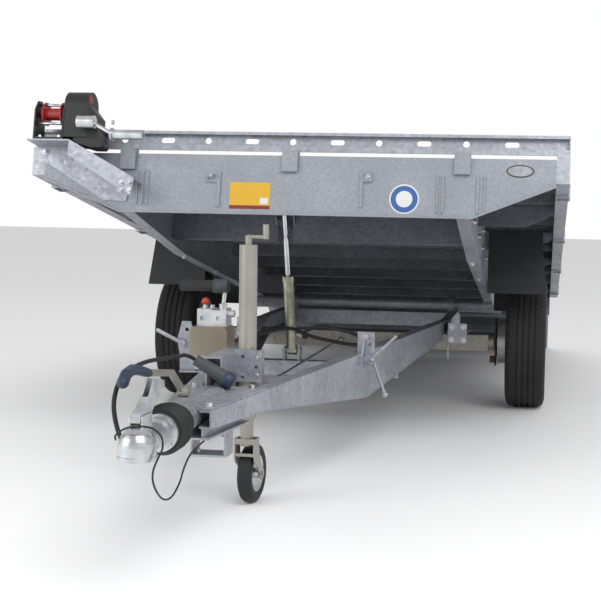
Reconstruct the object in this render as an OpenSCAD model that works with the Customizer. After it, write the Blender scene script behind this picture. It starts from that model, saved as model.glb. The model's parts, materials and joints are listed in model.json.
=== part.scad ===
// Tilting-bed car transporter trailer: V drawbar chassis, one torsion axle,
// a bed that tilts on a cross tube, a rear ramp, a hand pump with its lift
// cylinder, a jockey wheel and a hand winch. Millimetres, +X to the right,
// +Y to the rear, +Z up, the ground at Z = 0.

/* [Bed] */
// Overall width over the side rails
bed_w = 2120; // [1900:10:2300]
// Length of the bed from front panel to rear beam
bed_len = 3700; // [3500:50:4000]
// Slope of the raised bed, in degrees
bed_tilt = 10.66; // [8:0.1:10.7]
// Distance along the bed from its front to the tilt pivot
pivot_u = 2350; // [2300:10:2400]
// Depth of the tilt pivot below the front panel's lower edge
pivot_drop = 75.6; // [70:1:85]
// Width of a bed beam's flange
beam_w = 49; // [40:1:60]
// Outer face of the bed beams from the centreline
beam_x = 683; // [670:1:690]
// Wall of the bed's folded beams
beam_t = 5; // [4:0.5:6]
// Depth of a bed beam below the panel's lower edge
beam_drop = 58; // [50:1:60]
// Underside of the deck above the panel's lower edge
deck_v = 175; // [165:1:185]
// Depth of a deck plank
plank_h = 40; // [30:1:45]
// Number of deck planks
plank_n = 14; // [12:1:16]
// Gap between deck planks
plank_gap = 12; // [6:1:20]
// Wall of a deck plank
plank_t = 3; // [2:0.5:4]

/* [Side rails and panel] */
// Width of a side rail
rail_w = 51; // [45:1:60]
// Height of a side rail
rail_h = 113; // [100:1:120]
// Underside of the side rails above the panel's lower edge
rail_v = 142; // [135:1:150]
// Wall of the side rails
rail_t = 4; // [3:0.5:5]
// Number of stake pockets on each side
pocket_n = 4; // [3:1:5]
// Distance from the bed's ends to the first and last pocket
pocket_end = 255; // [200:5:320]
// Height of the front panel
panel_h = 235; // [220:1:245]
// Half width of the front panel's lower edge
panel_low = 695; // [690:1:720]
// Height at which the panel's slanted corners end
panel_corner = 126; // [110:1:135]
// Wall of the front panel
panel_t = 3; // [2:0.5:4]
// Gap between front panel and slotted rail
slot_gap = 20; // [12:1:25]
// Height of the slotted rail
slot_rail_h = 78; // [70:1:90]
// Pitch of the long slots
slot_pitch = 341; // [320:1:360]

/* [Chassis] */
// Distance from the drawbar datum to axle
axle_y = 3365; // [3350:5:3380]
// Distance from the drawbar datum to tilt pivot
pivot_y = 4023; // [4010:1:4040]
// Height of the tilt pivot
pivot_z = 459; // [455:1:470]
// Radius of the round pivot tube
pivot_r = 38; // [35:0.5:40]
// Top of the drawbar beams
draw_top = 435; // [425:1:440]
// Half spacing of the drawbar beams at their front
draw_x0 = 74; // [70:1:80]
// Half spacing of the drawbar beams at the axle
draw_x1 = 496; // [480:1:510]
// Start of the drawbar beams behind the datum
draw_y0 = 330; // [320:1:340]
// Deepest depth of the drawbar beams
draw_h = 184; // [170:1:190]
// Depth of the drawbar beams at their front
draw_nose_h = 50; // [45:1:60]
// Flange width of the drawbar beams
draw_w = 50; // [40:1:60]
// Wall of the drawbar beams
draw_t = 5; // [4:0.5:6]
// Side of the square chassis cross tube
cross_tube = 78; // [70:1:80]
// Side of the square axle tube
axle_tube_s = 80; // [70:1:90]

/* [Wheels] */
// Outer radius of a tyre
tyre_r = 327; // [310:1:330]
// Width of a tyre
tyre_w = 200; // [175:1:205]
// Distance from centreline to a tyre's middle
track_x = 888; // [880:1:895]
// Radius of a rim's bead seat
rim_r = 178; // [165:1:180]
// Radius of a brake drum
drum_r = 118; // [100:1:120]
// Radius of the jockey wheel
jockey_r = 100; // [90:1:110]
// Width of the jockey wheel
jockey_w = 50; // [45:1:60]
// Turn of the jockey fork about its tube, in degrees
jockey_turn = 4; // [0:1:40]
// Offset of the jockey wheel's axle from the tube
jockey_trail = 60; // [45:1:65]
// Distance from the drawbar datum to jockey tube
jockey_y = 1020; // [1010:1:1030]
// Radius of the jockey tube
jockey_tube_r = 30; // [28:0.5:30]
// Height of the jockey tube's top
jockey_top = 874; // [850:1:900]

/* [Ramp] */
// Length of the rear ramp
ramp_len = 800; // [750:10:900]
// Thickness of the rear ramp at its hinge
ramp_h = 45; // [40:1:50]

/* [Lift cylinder] */
// Side offset of the cylinder, to the left of the centreline
cyl_x = 165; // [150:1:180]
// Base pin behind the datum
cyl_base_y = 2550; // [2540:1:2560]
// Base pin height
cyl_base_z = 346; // [340:1:350]
// Top pin along the bed
cyl_top_u = 600; // [590:1:610]
// Top pin above the panel's lower edge
cyl_top_v = 125; // [120:1:130]
// Length of the barrel from its base pin
cyl_barrel = 368; // [360:1:372]
// Radius of the barrel
cyl_r = 24; // [22:0.5:26]
// Length of the rod to its eye
rod_len = 372; // [360:1:375]
// Radius of the rod
rod_r = 11; // [9:0.5:12]

/* [Hidden] */
$fn = 48;
seat = 0.3;
ball_r = 25;
head_y = -65;
head_z = 378;
nose_y = head_y - 49;
draw_a = atan((draw_x1 - draw_x0) / (axle_y - draw_y0));
draw_len = (axle_y - draw_y0) / cos(draw_a);
front_y = pivot_y - pivot_u * cos(bed_tilt) + pivot_drop * sin(bed_tilt);
front_z = pivot_z + pivot_u * sin(bed_tilt) + pivot_drop * cos(bed_tilt);
rail_x = bed_w / 2;
inner_x = rail_x - rail_w;
rail_top = rail_v + rail_h;
deck_top = deck_v + plank_h;
slot_v = panel_h + slot_gap;
ramp_u = bed_len + 40;
ramp_v = deck_top - 22;
ramp_hinge_r = 12;
hinge_y = bed_y(ramp_u, ramp_v);
hinge_z = bed_z(ramp_u, ramp_v);
tip_t = 12;
ground_gap = 1;
ramp_a = asin((hinge_z - ground_gap) / ramp_len);
tip_y = hinge_y + ramp_len * cos(ramp_a);
mid_y = (nose_y + tip_y) / 2;
jockey_x = 4;
wheel_z = tyre_r;
axle_tube_y = axle_y - 125;
axle_tube_z = wheel_z + 8;
drum_x = track_x - tyre_w / 2 - 44;
arm_x = drum_x - 38;
top_y = bed_y(cyl_top_u, cyl_top_v);
top_z = bed_z(cyl_top_u, cyl_top_v);
cyl_len = norm([top_y - cyl_base_y, top_z - cyl_base_z]);
cyl_a = atan2(top_z - cyl_base_z, top_y - cyl_base_y);
STEEL = "silver";

// Place on the level frame of a point given along the bed (u) and above it (v)
function bed_y(u, v) = front_y + u * cos(bed_tilt) + v * sin(bed_tilt);
function bed_z(u, v) = front_z - u * sin(bed_tilt) + v * cos(bed_tilt);
// Outer face of a drawbar beam at a distance behind the datum
function draw_x(y) = draw_x0 + (y - draw_y0) * tan(draw_a);
// Height of a drawbar beam's underside, from rows of [along the beam, depth]
DRAW = [[0, draw_nose_h], [0.13, 62], [0.5, draw_h], [1, 75]];

module place() { translate([0, -mid_y, 0]) children(); }
// The bed's own frame: x across, y along the bed, z square to it
module bed() { place() translate([0, pivot_y, pivot_z]) rotate([-bed_tilt, 0, 0]) translate([0, -pivot_u, pivot_drop]) children(); }
module box(x0, x1, y0, y1, z0, z1) { translate([x0, y0, z0]) cube([x1 - x0, y1 - y0, z1 - z0]); }
module rod_x(x0, x1, r) { translate([x0, 0, 0]) rotate([0, 90, 0]) cylinder(h = x1 - x0, r = r); }
module sides() { children(); mirror([1, 0, 0]) children(); }
module side(s) { if (s > 0) children(); else mirror([1, 0, 0]) children(); }
// A profile in the Y-Z plane, extruded from x0 to x1
module plate_x(x0, x1, pts) { translate([x0, 0, 0]) rotate([90, 0, 90]) linear_extrude(x1 - x0) polygon(pts); }
// A profile in the X-Z plane, extruded from y0 to y1
module plate_y(y0, y1, pts) { translate([0, y1, 0]) rotate([90, 0, 0]) linear_extrude(y1 - y0) polygon(pts); }
// A straight round bar between two points
module bar(p, q, r) {
    d = q - p;
    translate(p) rotate([0, acos(d[2] / norm(d)), atan2(d[1], d[0])]) cylinder(h = norm(d), r = r, $fn = 24);
}
// A cord: one eight-sided tube swept along a smoothed route
function unit(v) = v / norm(v);
function spline(p, i, f) = let (a = p[max(i - 1, 0)], b = p[i], c = p[i + 1], d = p[min(i + 2, len(p) - 1)])
    b + f * (c - a) / 2 + f * f * (a - 2.5 * b + 2 * c - d / 2) + f * f * f * (1.5 * (b - c) + (d - a) / 2);
function smoothed(p, k) = concat([for (i = [0 : len(p) - 2]) for (j = [0 : k - 1]) spline(p, i, j / k)], [p[len(p) - 1]]);
function run_at(p, i) = unit(p[min(i + 1, len(p) - 1)] - p[max(i - 1, 0)]);
function side_at(p, i) = let (t = run_at(p, i), s = i == 0 ? [0.3, 0.2, 1] : side_at(p, i - 1)) unit(s - (s * t) * t);
module cord(route, r, k) {
    p = smoothed(route, k);
    m = len(p);
    rings = [for (i = [0 : m - 1]) let (t = run_at(p, i), u = side_at(p, i), v = cross(t, u))
        for (a = [0 : 45 : 315]) p[i] + r * (cos(a) * u + sin(a) * v)];
    walls = [for (i = [0 : m - 2]) for (a = [0 : 7]) for (f = [[a, (a + 1) % 8, 8 + a], [(a + 1) % 8, 8 + (a + 1) % 8, 8 + a]])
        [f[0] + 8 * i, f[2] + 8 * i, f[1] + 8 * i]];
    polyhedron(points = rings, faces = concat(walls, [[for (a = [0 : 7]) a]], [[for (a = [7 : -1 : 0]) 8 * (m - 1) + a]]));
}
function reversed(v) = [for (i = [len(v) - 1 : -1 : 0]) v[i]];

// Drawbar and chassis

// One drawbar beam on the right: a folded channel, deep in the middle
module drawbar() {
    under = [for (p = DRAW) [p[0] * draw_len, draw_top - p[1]]];
    web = concat(under, [[draw_len, draw_top], [0, draw_top]]);
    difference() {
        union() {
            translate([draw_x0, draw_y0, 0]) rotate([0, 0, -draw_a]) {
                plate_x(-draw_t, 0, web);
                box(-draw_w, 0, 0, draw_len, draw_top - draw_t, draw_top);
                plate_x(-draw_w, 0, concat(under, reversed([for (p = under) p + [0, draw_t]])));
            }
            rear_rail();
        }
        // The notch over the axle tube
        box(0, 700, axle_tube_y - axle_tube_s / 2 - seat, axle_tube_y + axle_tube_s / 2 + seat, 0, axle_tube_z + axle_tube_s / 2 + seat);
        // The flanges give way to the overrun housing
        box(-1, 38 + seat, 250, 662, 370, draw_top + 10);
    }
}
module rear_rail() {
    h = 100;
    y1 = pivot_y + cross_tube / 2;
    low = pivot_z - pivot_r - 11;
    box(draw_x1 - draw_t, draw_x1, axle_y - 2, pivot_y - 70, draw_top - h, draw_top);
    box(draw_x1 - draw_t, draw_x1, pivot_y - 70.5, y1, draw_top - h, low);
    box(draw_x1 - draw_w, draw_x1, axle_y - 2, pivot_y - 70, draw_top - draw_t, draw_top);
    box(draw_x1 - draw_w, draw_x1, axle_y - 2, pivot_y - cross_tube / 2, draw_top - h, draw_top - h + draw_t);
}
// A frame on the right beam's outer face: x outward, y along the beam
module on_beam(y) { translate([draw_x(y), y, 0]) rotate([0, 0, -draw_a]) children(); }
module drawbar_left() { color(STEEL) place() side(-1) drawbar(); }
module drawbar_right() { color(STEEL) place() drawbar(); }

// Plates between the beams' noses that carry the overrun device
module drawbar_bridge() {
    y0 = draw_y0 + 8;
    y1 = 760;
    guard_y = 640;
    color(STEEL) place() {
        difference() {
            hull() for (y = [y0, y1]) box(-draw_x(y) + 4, draw_x(y) - 4, y, y + 1, draw_top, draw_top + 6);
            translate([0, 250, 415]) rotate([-90, 0, 0]) cylinder(h = 412, r = 38 + seat);
        }
        // The lower plate with its spacers and the loop that guards the brake linkage
        hull() for (y = [y0, guard_y]) box(-draw_x(y) + 8, draw_x(y) - 8, y, y + 1, draw_top - 83, draw_top - 77);
        sides() translate([draw_x0, draw_y0, 0]) rotate([0, 0, -draw_a]) plate_x(-34, -28,
            [[12, draw_top - 77], [guard_y - draw_y0, draw_top - 77], [guard_y - draw_y0, draw_top - 59.8], [12, draw_top - draw_nose_h - 0.7]]);
        for (x = [-52, 50]) box(x, x + 6, 560, guard_y, 258, draw_top - 83);
        box(-52, 56, 560, guard_y, 258, 264);
        difference() {
            x = draw_x(1088) - draw_t / cos(draw_a) - seat;
            box(-x, x, 1088, 1094, draw_top - 78, draw_top - draw_t);
            translate([60, 1080, 395]) rotate([-90, 0, 0]) cylinder(h = 30, r = 14);
        }
        // The recessed base of the hand pump
        box(-222, -118, 1168, 1260, draw_top, 482.7);
    }
}
module overrun_housing() {
    color(STEEL) place() translate([0, 0, 415]) {
        difference() {
            translate([0, 254, 0]) rotate([-90, 0, 0]) cylinder(h = 406, r = 38);
            translate([0, 253, 0]) rotate([-90, 0, 0]) cylinder(h = 380, r = 25.3);
        }
        // The bracket of the brake linkage under the housing
        for (x = [-26, 20]) difference() {
            box(x, x + 6, 644, 692, -112, -28);
            translate([x - 1, 670, -90]) rotate([0, 90, 0]) cylinder(h = 8, r = 9);
        }
    }
}
module overrun_bellows() {
    folds = [56, 66, 56, 66, 56, 66, 55, 64, 52, 58, 47, 52, 42];
    len_b = 135.4;
    color("#17181a") place() translate([0, 118.3, 415]) rotate([-90, 0, 0]) rotate_extrude()
        polygon(concat([[25.6, 0], [25.6, len_b]],
            reversed([for (i = [0 : 12]) [folds[i], i * len_b / 12]])));
}
module coupling_head() {
    r = 47;
    color("#b9bcc0") place() {
        difference() {
            union() {
                translate([0, head_y, head_z]) rotate_extrude() polygon(concat([[0, 0], [49, 0], [49, 10], [r, 12]], [for (a = [0 : 10 : 80]) [r * cos(a), 34 + 48 * sin(a)]], [[0, 82]]));
                hull() {
                    translate([0, head_y + 22, head_z + 40]) rotate([-90, 0, 0]) cylinder(h = 16, r = 38, $fn = 32);
                    translate([0, 62, 414]) rotate([-90, 0, 0]) cylinder(h = 20, r = 33, $fn = 32);
                }
                translate([0, 78, 413]) rotate([-90, 0, 0]) cylinder(h = 24, r = 42);
                translate([0, 102, 413]) rotate([-90, 0, 0]) cylinder(h = 16, r = 50);
                for (x = [-17, 13]) box(x, x + 4, head_y - 12, head_y + 62, head_z + 50, head_z + 108);
            }
            // The socket: a straight bore with a domed top for the ball
            translate([0, head_y, head_z - 1]) cylinder(h = 41, r = ball_r + 0.3);
            translate([0, head_y, head_z + 40]) rotate_extrude() polygon(concat([[0, -0.1], [23, -0.1]], [for (a = [24 : 11 : 79]) [ball_r * cos(a), ball_r * sin(a) - 9.8]], [[0, ball_r - 9.8]]));
        }
        translate([0, 117, 415]) rotate([-90, 0, 0]) cylinder(h = 190, r = 25);
    }
}
module coupling_handle() {
    color("#c6c8ca") place() difference() {
        plate_x(-12, 12, [[-80, 470], [-60, 462], [-6, 474], [44, 506], [112, 534], [108, 551], [34, 566], [-2, 530], [-44, 502], [-76, 492]]);
        translate([-7, -10, 500]) cube([14, 60, 80]);
    }
}
module handbrake_lever() {
    color("#8f8c84") place() {
        // A flat lever with a bend, on its pivot boss
        plate_x(-76, -64, [[516, 450], [540, 450], [544, 464], [434, 533], [226, 561], [226, 541], [424, 515], [514, 458]]);
        translate([-70, 528, 455.6]) rod_x(-10, 22, 14);
    }
}
module handbrake_grip() {
    path = [[196, 557], [150, 568], [96, 576], [52, 570], [28, 552]];
    color("#26344d") place() translate([-70, 0, 0]) {
        hull() {
            translate([0, 225.7, 551]) rotate([90, 0, 0]) cylinder(h = 1, r = 12, $fn = 24);
            translate([0, path[0][0], path[0][1]]) sphere(r = 13, $fn = 24);
        }
        for (i = [0 : len(path) - 2]) hull() for (k = [i, i + 1]) translate([0, path[k][0], path[k][1]]) sphere(r = 13 + k * 0.6, $fn = 24);
    }
}
module jockey_clamp() {
    color(STEEL) place() difference() {
        union() {
            // The folded saddle on the left of the tube, then its clamp plate and ring
            difference() {
                box(-84, -28, 820, 1087.7, 392, 524);
                box(-78, -34, 819, 1089, 398, 518);
            }
            box(-34, 62, 982, 987, 424, 530);
            box(57, 62, 982, 1016, 424, 530);
            translate([jockey_x, jockey_y, 440]) cylinder(h = 40, r = 38);
        }
        translate([jockey_x, jockey_y, 380]) cylinder(h = 180, r = jockey_tube_r + seat);
        for (p = [[-2, 507], [-2, 440], [44, 474]]) translate([p[0], 981, p[1]]) rotate([-90, 0, 0]) cylinder(h = 8, r = 6, $fn = 24);
    }
}
module jockey_tube() {
    color("#a9a69d") place() translate([jockey_x, jockey_y, 0]) {
        difference() {
            translate([0, 0, 300]) cylinder(h = jockey_top - 300, r = jockey_tube_r);
            translate([0, 0, 299]) cylinder(h = 120, r = jockey_tube_r - 3);
        }
        // The screw's stub, the crank arm and its upright grip
        translate([0, 0, jockey_top - 1]) cylinder(h = 31, r = 11);
        translate([0, 0, jockey_top + 26]) rod_x(-6, 64, 6);
        translate([58, 0, jockey_top + 20]) cylinder(h = 48, r = 10);
        translate([0, 0, 231]) cylinder(h = 190, r = 22);
    }
}

// Hand pump

module pump_tank() {
    color("#857d74") place() difference() {
        box(-236, -104, 1160, 1268, 483, 583);
        for (x = [-236, -104]) translate([x, 1159, 583]) rotate([-90, 45, 0]) cube([14, 14, 260], center = true);
    }
}
module pump_head() {
    color("#c9ccd0") place() {
        difference() {
            box(-214, -112, 1176, 1252, 583.3, 644);
            translate([-163, 1170, 640]) cube([30, 90, 10]);
            for (x = [-196, -140]) translate([x, 1175, 612]) rotate([-90, 0, 0]) cylinder(h = 10, r = 8, $fn = 24);
        }
        translate([-126, 1190, 644]) cylinder(h = 18, r = 14);
        bar([-134, 1214, 640], [-126, 1214, 701.8], 7);
        for (x = [-196, -170]) translate([x, 1214, 643]) cylinder(h = 13, r = 8);
        translate([-112.5, 1196, 628]) rod_x(0, 26, 12);
    }
}
module pump_lever() {
    color("#1c1d1f") place() translate([0, 1214, 722]) {
        difference() {
            rod_x(-284, -112, 19);
            rod_x(-285, -200, 13);
        }
    }
}
module cylinder_bridge() {
    y0 = cyl_base_y - 32;
    x = draw_x(y0) - draw_w / cos(draw_a);
    color(STEEL) place() {
        difference() {
            box(-x, x, y0, y0 + 64, draw_top - draw_h - 14, draw_top - draw_h + 50);
            box(-x - 1, x + 1, y0 + 4, y0 + 65, draw_top - draw_h - 10, draw_top - draw_h + 46);
        }
        for (s = [-1, 1]) difference() {
            translate([-cyl_x + s * 34 - 4, 0, 0]) plate_x(0, 8, [[y0 + 4, draw_top - draw_h + 50], [y0 + 60, draw_top - draw_h + 50], [cyl_base_y + 20, cyl_base_z + 18], [cyl_base_y - 20, cyl_base_z + 18]]);
            translate([-cyl_x + s * 34 - 5, cyl_base_y, cyl_base_z]) rod_x(0, 10, 10.3);
        }
        translate([-cyl_x, cyl_base_y, cyl_base_z]) rod_x(-44, 44, 10);
    }
}
module latch_right() {
    color(STEEL) place() on_beam(1800) {
        difference() {
            plate_y(-4, 4, [[seat, 384], [42, 384], [42, 518], [-26, 518], [-26, draw_top + seat], [seat, draw_top + seat]]);
            translate([24, -5, 470]) rotate([-90, 0, 0]) cylinder(h = 10, r = 7, $fn = 24);
        }
        box(seat, seat + 6, -44, 44, 384, 428);
        plate_x(seat, seat + 6, [[-44, 428], [-4, 510], [4, 510], [4, 428]]);
        bar([44, -12, 400], [92, -14, 276], 7);
        bar([36, -12, 416], [137, -20, 510], 6);
        translate([20, 0, 416]) rotate([90, 0, 0]) cylinder(h = 18, r = 16, $fn = 24);
        translate([92, -14, 276]) sphere(r = 12, $fn = 20);
        rod_at = [36, -12, 410];
        translate(rod_at) sphere(r = 11, $fn = 20);
    }
}
module latch_left() {
    color(STEEL) place() side(-1) on_beam(1330) {
        box(seat, seat + 6, -30, 30, 384, 432);
        box(seat, 104, -25, 25, 404, 410);
        difference() {
            plate_y(-4, 4, [[50, 408], [104, 408], [106, 470], [114, 520], [98, 586], [66, 586], [50, 520]]);
            translate([80, -5, 556]) rotate([-90, 0, 0]) cylinder(h = 10, r = 7, $fn = 24);
        }
        bar([96, -8, 508], [186, -20, 556], 7);
        translate([96, 0, 508]) rotate([90, 0, 0]) cylinder(h = 14, r = 13, $fn = 24);
    }
}

// Axle

module axle_tube() {
    h = axle_tube_s / 2;
    color("#8b8880") place() {
        difference() {
            translate([0, axle_tube_y, axle_tube_z]) box(-arm_x + 6, arm_x - 6, -h, h, -h, h);
            translate([0, axle_tube_y, axle_tube_z]) box(-arm_x, arm_x, -h + 5, h - 5, -h + 5, h - 5);
        }
        sides() {
            translate([arm_x - 16, axle_tube_y, axle_tube_z]) rotate([0, 90, 0]) cylinder(h = 17, r = h - 6);
            hull() {
                translate([arm_x, axle_tube_y, axle_tube_z]) rod_x(0, 22, 34);
                translate([arm_x, axle_y, wheel_z]) rod_x(0, 22, 27);
            }
            translate([arm_x + 21, axle_y, wheel_z]) rod_x(0, 103, 18);
        }
    }
}
module axle_bracket() {
    y0 = axle_tube_y - axle_tube_s / 2;
    z1 = axle_tube_z + axle_tube_s / 2;
    color(STEEL) {
        box(draw_x1, draw_x1 + 96, y0 - 6.3, y0 - 0.3, 331, 431);
        box(draw_x1, draw_x1 + 96, y0 - 6.3, axle_y + 60, z1 + 0.3, z1 + 6.3);
        plate_x(draw_x1, draw_x1 + 6, [[y0 - 6.3, 250], [y0 - 0.3, 250], [y0 - 0.3, z1 + 0.3], [axle_y + 60, z1 + 0.3], [axle_y + 60, 431], [y0 - 6.3, 431]]);
    }
}
module axle_bracket_left() { place() side(-1) axle_bracket(); }
module axle_bracket_right() { place() axle_bracket(); }
module brake() {
    color("#5d4a3c") translate([drum_x - 14, axle_y, wheel_z]) difference() {
        union() {
            rod_x(0, 6, drum_r + 6);
            rod_x(-1.7, 1, 44);
            box(-26, 1, -60, -30, -102, -70);
        }
        rod_x(-20, 20, 18.3);
    }
}
module brake_left() { place() side(-1) brake(); }
module brake_right() { place() brake(); }

// Tilt pivot

module pivot_cross_tube() {
    h = cross_tube / 2;
    z = pivot_z - pivot_r - 6 - h;
    color(STEEL) place() translate([0, pivot_y, z]) {
        difference() {
            box(-draw_x1 + draw_t, draw_x1 - draw_t, -h, h, -h, h);
            box(-draw_x1 - 1, draw_x1 + 1, -h + 4, h - 4, -h + 4, h - 4);
        }
    }
}
module pivot_bearings() {
    zb = pivot_z - pivot_r - 6;
    color(STEEL) place() sides() difference() {
        hull() {
            translate([430, pivot_y, pivot_z]) rod_x(0, 40, pivot_r + 12);
            box(430, 470, pivot_y - pivot_r, pivot_y + pivot_r, zb, zb + 1);
        }
        translate([429, pivot_y, pivot_z]) rod_x(0, 42, pivot_r + seat);
        box(429, 471, pivot_y - 60, pivot_y + 60, zb - 60, zb);
    }
}
module pivot_tube() {
    color(STEEL) place() translate([0, pivot_y, pivot_z]) difference() {
        rod_x(-beam_x + beam_t, beam_x - beam_t, pivot_r);
        rod_x(-beam_x, beam_x, pivot_r - 6);
    }
}

// Plug and cords

PLUG_CABLE = [[-82, 700, 530], [-93, 700, 536], [-104, 670, 545], [-104, 600, 550], [-102, 460, 560], [-102, 330, 569], [-102, 220, 569],
    [-101, 130, 561], [-100, 76, 539], [-100, 50, 508], [-100, 47, 478], [-100, 62, 442], [-100, 92, 402], [-99, 130, 368],
    [-94, 190, 356], [-82, 260, 368], [-66, 320, 396], [-60, 356, 409]];
BREAKAWAY = [[50, 346, 349], [50, 290, 345], [50, 213, 336], [50, 156, 310], [50, 121, 282], [50, 66, 262], [50, 15, 262], [52, -40, 280],
    [56, -96, 314], [57, -120, 344], [56, -110, 366], [58, -84, 386], [62, -60, 408], [58, -58, 436], [46, -78, 457], [30, -96, 466],
    [8, -106, 467], [-14, -104, 462], [-36, -92, 450], [-52, -76, 436], [-56, -62, 424]];
HOSE = [[-150, 1269, 510], [-150, 1300, 510], [-148, 1400, 506], [-140, 1700, 500], [-112, 2000, 496], [-80, 2140, 486], [-50, 2200, 464],
    [-6, 2230, 444], [72, 2240, 428], [150, 2240, 416], [196, 2230, 420], [212, 2206, 442], [180, 2180, 468], [106, 2170, 488],
    [24, 2190, 494], [-36, 2230, 472], [-70, 2320, 436], [-80, 2440, 420], [-90, 2506, 421], [-106, 2524, 421], [-122, 2525, 421]];
module electric_plug() {
    color("#3a3c40") place() {
        difference() {
            box(-16, 40, 688, 712, draw_top + 6, 470);
            translate([-78, 700, 528]) rotate([0, 119.9, 0]) translate([0, 0, 2]) cylinder(h = 200, r = 23, $fn = 32);
            translate([-30, 687, 470]) rotate([0, 29.9, 0]) cube([120, 30, 60]);
        }
        translate([-78, 700, 528]) rotate([0, 119.9, 0]) {
            cylinder(h = 124.5, r1 = 17, r2 = 24, $fn = 32);
            translate([0, 0, -2]) cylinder(h = 3, r = 9, $fn = 24);
        }
    }
}
module plug_cable() { color("#111214") place() cord(PLUG_CABLE, 6, 2); }
module breakaway_cable() { color("#15161a") place() cord(BREAKAWAY, 2.5, 3); }
module hydraulic_hose() { color("#111214") place() cord(HOSE, 8, 3); }

// Jockey wheel, in a frame turned about its tube

module jockey() { place() translate([jockey_x, jockey_y, 0]) rotate([0, 0, -jockey_turn]) children(); }
module jockey_fork() {
    t = jockey_trail;
    w = jockey_w / 2 + 6;
    leg = [[-26, 232], [-20, 238], [20, 238], [26, 230], [28, 180], [50, 140], [t + 22, 105], [t + 14, 82], [t - 6, 80], [t - 16, 96], [18, 128], [-16, 150], [-26, 175]];
    color("#9a968b") jockey() {
        for (x = [-w - 5, w]) plate_x(x, x + 5, [for (p = leg) [p[0], min(p[1], 230.7)]]);
        box(-w - 1, w + 1, -26, 26, 222, 230.7);
        box(-w - 1, w + 1, -26, -20, 212, 230.7);
        box(-w - 1, w + 1, -27, -21, 172, 182);
        translate([0, 0, 204]) cylinder(h = 20, r = 18);
        translate([0, t, jockey_r]) rod_x(-w - 10, w + 10, 7);
    }
}
module jockey_tyre() {
    h = jockey_w / 2;
    color("#1b1b1c") jockey() translate([0, jockey_trail, jockey_r]) rotate([0, 90, 0]) rotate_extrude()
        polygon([[62, -h + 4], [84, -h], [94, -h + 5], [jockey_r, -h + 14], [jockey_r, h - 14], [94, h - 5], [84, h], [62, h - 4]]);
}
module jockey_hub() {
    h = jockey_w / 2;
    color("#c2c4c6") jockey() translate([0, jockey_trail, jockey_r]) rotate([0, 90, 0]) rotate_extrude()
        polygon([[7.3, -h - 1], [16, -h - 1], [18, -h + 8], [44, -h + 10], [61.7, -h + 4], [61.7, h - 4], [44, h - 10], [18, h - 8], [16, h + 1], [7.3, h + 1]]);
}

// Wheels

module tyre() {
    w = tyre_w / 2;
    color("#1a1a1b") translate([track_x, axle_y, wheel_z]) rotate([0, 90, 0]) rotate_extrude($fn = 72)
        polygon([[rim_r, -w * 0.68], [rim_r + 14, -w * 0.78], [rim_r + 50, -w * 0.97], [rim_r + 80, -w], [tyre_r - 38, -w * 0.97], [tyre_r - 14, -w * 0.86], [tyre_r - 3, -w * 0.66], [tyre_r, -w * 0.3],
            [tyre_r, w * 0.3], [tyre_r - 3, w * 0.66], [tyre_r - 14, w * 0.86], [tyre_r - 38, w * 0.97], [rim_r + 80, w], [rim_r + 50, w * 0.97], [rim_r + 14, w * 0.78], [rim_r, w * 0.68]]);
}
module rim() {
    w = tyre_w / 2 * 0.68;
    r = rim_r - seat;
    color("#b8babd") {
        translate([track_x, axle_y, wheel_z]) rotate([0, 90, 0]) {
            rotate_extrude($fn = 72)
                polygon([[r, -w - 0.6], [r + 12, -w - 10], [r + 12, -w - 13], [r - 4, -w - 13], [r - 12, -w], [r - 30, -w + 20], [r - 34, w - 30], [r - 34, w - 26], [r - 12, w], [r - 4, w + 13], [r + 12, w + 13], [r + 12, w + 10], [r, w + 0.6], [r - 22, w - 20], [r - 24, w - 34], [r - 24, -w + 22]]);
            difference() {
                rotate_extrude($fn = 72)
                    polygon([[33, -34], [118, -34], [130, 22], [r - 30, 30], [r - 30, 36], [126, 29], [104, -20], [80, -28], [33, -28]]);
                for (i = [0 : 11]) rotate([0, 0, i * 30]) translate([118, 0, -40]) cylinder(h = 90, r = 11, $fn = 24);
                for (i = [0 : 4]) rotate([0, 0, i * 72]) translate([56, 0, -40]) cylinder(h = 20, r = 7, $fn = 24);
            }
        }
        // The drum and hub turn with the wheel
        translate([drum_x, axle_y, wheel_z]) difference() {
            union() {
                rod_x(0, 5, drum_r);
                rod_x(0, track_x - 34 - drum_x, drum_r - 8);
                rod_x(0, track_x - 10 - drum_x, 33);
                rod_x(track_x - 12 - drum_x, track_x + 8 - drum_x, 28);
            }
            rod_x(-7, 90, 18.5);
        }
    }
}
module tyre_left() { place() side(-1) tyre(); }
module tyre_right() { place() tyre(); }
module rim_left() { place() side(-1) rim(); }
module rim_right() { place() rim(); }

// Bed frame

// Underside of a bed beam, rows of [along the bed, above the panel's edge]
BEAM = [[panel_t, 0], [708, -beam_drop], [2600, -beam_drop], [bed_len - 6, 20]];
module bed_beam() {
    color(STEEL) difference() {
        union() {
            plate_x(beam_x - beam_t, beam_x, concat(BEAM, [[bed_len - 6, deck_v], [panel_t, deck_v]]));
            box(beam_x - beam_w, beam_x, panel_t, bed_len - 6, deck_v - beam_t, deck_v);
            plate_x(beam_x - beam_w, beam_x, concat(BEAM, reversed([for (p = BEAM) p + [0, beam_t]])));
        }
        translate([0, pivot_u, -pivot_drop]) rod_x(beam_x - beam_w - 1, beam_x - beam_t, pivot_r);
    }
}
module bed_beam_left() { bed() side(-1) bed_beam(); }
module bed_beam_right() { bed() bed_beam(); }
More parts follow.
